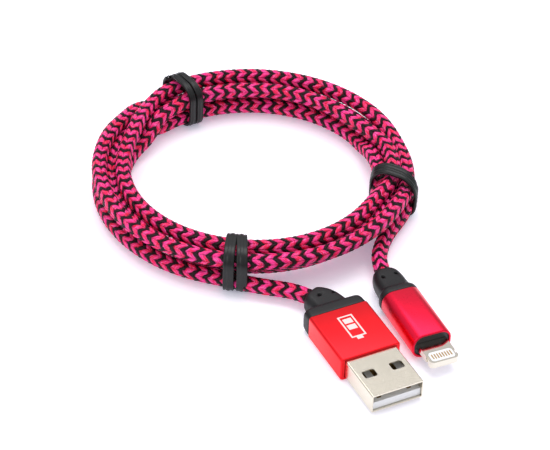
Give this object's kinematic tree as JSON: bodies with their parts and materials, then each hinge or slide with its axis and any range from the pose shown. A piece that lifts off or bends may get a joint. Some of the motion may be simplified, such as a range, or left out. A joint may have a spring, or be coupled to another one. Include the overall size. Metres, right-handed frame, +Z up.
{
  "type": "charging cable",
  "caption": "Charging cable with a zigzag braided jacket, wound into a round coil held by twist ties, with a wide flat plug and a slim reversible plug in metal sleeves.",
  "frame": {"origin": "middle of the round coil, on the surface the cable rests on", "axes": "+Z straight up from the surface; +X towards the side tie's side of the coil; -Y towards the front of the coil, where the plugs lie"},
  "size_m": [0.082, 0.111, 0.0107],
  "materials": {
    "braid": "woven yarn in a zigzag of pink and charcoal",
    "red_metal": "red anodised, satin",
    "black_soft": "satin soft plastic",
    "tie_plastic": "ribbed flexible plastic",
    "steel_wire": "soft iron wire",
    "nickel": "satin nickel plating",
    "white_plastic": "moulded",
    "gold": "gold plated",
    "mould": "moulded",
    "board": "lacquered",
    "chip": "moulded",
    "jacket": "moulded",
    "wire_power": "insulation",
    "wire_data_minus": "insulation",
    "wire_data_plus": "insulation",
    "wire_ground": "insulation"
  },
  "bodies": {
    "cord": {"cord_coil": "braid", "wide_plug_lead": "braid", "slim_plug_lead": "braid", "wide_plug_cord_tail": "braid", "slim_plug_cord_tail": "braid", "front_tie": "tie_plastic", "front_tie_wire": "steel_wire", "side_tie": "tie_plastic", "side_tie_wire": "steel_wire", "rear_tie": "tie_plastic", "rear_tie_wire": "steel_wire"},
    "wide_plug": {"wide_plug_sleeve": "red_metal", "wide_plug_boot": "black_soft", "wide_plug_shell": "nickel", "wide_plug_tongue": "white_plastic", "wide_plug_inner_mould": "mould", "wide_plug_crimp_ring": "steel_wire", "wide_plug_jacket_end": "jacket", "wide_plug_contact_power": "gold", "wide_plug_contact_data_minus": "gold", "wide_plug_contact_data_plus": "gold", "wide_plug_contact_ground": "gold", "wide_plug_wire_power": "wire_power", "wide_plug_wire_data_minus": "wire_data_minus", "wide_plug_wire_data_plus": "wire_data_plus", "wide_plug_wire_ground": "wire_ground"},
    "slim_plug": {"slim_plug_sleeve": "red_metal", "slim_plug_boot": "black_soft", "slim_plug_collar": "black_soft", "slim_plug_frame": "nickel", "slim_plug_contact_block": "white_plastic", "slim_plug_contacts_top": "gold", "slim_plug_contacts_bottom": "gold", "slim_plug_circuit_board": "board", "slim_plug_chip": "chip", "slim_plug_inner_mould": "mould", "slim_plug_crimp_ring": "steel_wire", "slim_plug_jacket_end": "jacket", "slim_plug_wire_power": "wire_power", "slim_plug_wire_data_minus": "wire_data_minus", "slim_plug_wire_data_plus": "wire_data_plus", "slim_plug_wire_ground": "wire_ground"}
  },
  "joints": [
    {"name": "wide_plug_bend", "type": "hinge", "parent": "cord", "child": "wide_plug", "pos_m": [0.01627, -0.04237, 0.0029], "axis": [-0.8882, -0.4594, 0], "range_deg": [0, 35], "stiffness_Nm_per_rad": 0.02, "deforming": ["wide_plug_boot", "wide_plug_cord_tail"]},
    {"name": "slim_plug_bend", "type": "hinge", "parent": "cord", "child": "slim_plug", "pos_m": [0.03075, -0.0351, 0.0031], "axis": [-0.9114, -0.4115, 0], "range_deg": [0, 35], "stiffness_Nm_per_rad": 0.02, "deforming": ["slim_plug_boot", "slim_plug_cord_tail"]}
  ]
}
